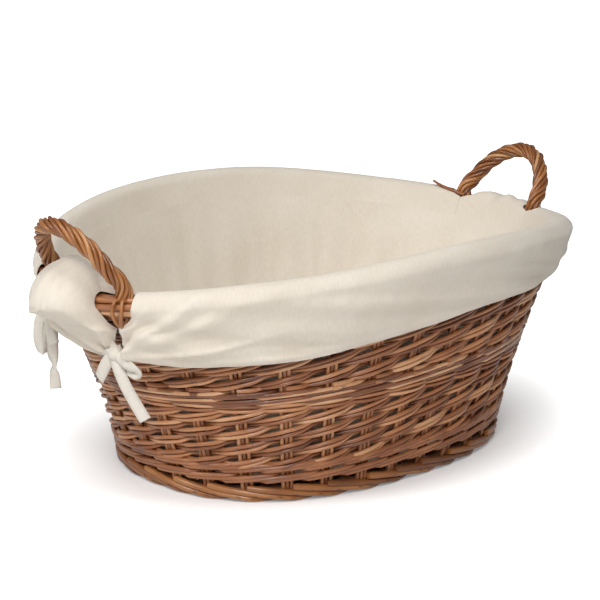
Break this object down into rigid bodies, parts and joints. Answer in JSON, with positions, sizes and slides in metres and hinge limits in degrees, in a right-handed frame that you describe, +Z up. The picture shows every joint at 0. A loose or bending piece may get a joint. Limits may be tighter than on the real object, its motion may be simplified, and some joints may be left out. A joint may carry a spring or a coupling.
{
  "type": "laundry basket",
  "caption": "Oval flared willow basket with dipped ends, roped end handles and a loose cotton liner that rolls over the rim and ties with tape bows.",
  "frame": {"origin": "centre of the footprint of the whole basket, on the plane its foot border stands on", "axes": "+Z up, +X along the basket's long side towards the right handle, +Y towards the back; the front is the long side seen first in the source picture"},
  "size_m": [0.6881, 0.4904, 0.3003],
  "materials": {
    "steamed_willow": "satin",
    "border_willow": "satin",
    "calico": "matte",
    "cotton_tape": "matte"
  },
  "bodies": {
    "root": {"stake_01": "steamed_willow", "stake_02": "steamed_willow", "stake_03": "steamed_willow", "stake_04": "steamed_willow", "stake_05": "steamed_willow", "stake_06": "steamed_willow", "stake_07": "steamed_willow", "stake_08": "steamed_willow", "stake_09": "steamed_willow", "stake_10": "steamed_willow", "stake_11": "steamed_willow", "stake_12": "steamed_willow", "stake_13": "steamed_willow", "stake_14": "steamed_willow", "stake_15": "steamed_willow", "stake_16": "steamed_willow", "stake_17": "steamed_willow", "stake_18": "steamed_willow", "stake_19": "steamed_willow", "stake_20": "steamed_willow", "stake_21": "steamed_willow", "stake_22": "steamed_willow", "stake_23": "steamed_willow", "stake_24": "steamed_willow", "stake_25": "steamed_willow", "stake_26": "steamed_willow", "stake_27": "steamed_willow", "stake_28": "steamed_willow", "stake_29": "steamed_willow", "stake_30": "steamed_willow", "base_wale": "steamed_willow", "lower_randing_1": "steamed_willow", "lower_randing_2": "steamed_willow", "lower_randing_3": "steamed_willow", "lower_randing_4": "steamed_willow", "mid_wale": "steamed_willow", "upper_randing_1": "steamed_willow", "upper_randing_2": "steamed_willow", "upper_randing_3": "steamed_willow", "upper_randing_4": "steamed_willow", "upper_randing_5": "steamed_willow", "top_wale": "steamed_willow", "foot_border": "border_willow", "rim_border": "steamed_willow", "base_slath": "steamed_willow", "base_weave": "steamed_willow", "left_handle_bow": "steamed_willow", "left_handle_rope": "border_willow", "right_handle_bow": "steamed_willow", "right_handle_rope": "border_willow", "liner_wall": "calico", "liner_floor": "calico", "skirt_front": "calico", "skirt_back": "calico", "flap_left": "calico", "flap_right": "calico", "left_near_bow": "cotton_tape", "left_far_bow": "cotton_tape", "right_near_bow": "cotton_tape", "right_far_bow": "cotton_tape"}
  },
  "joints": []
}
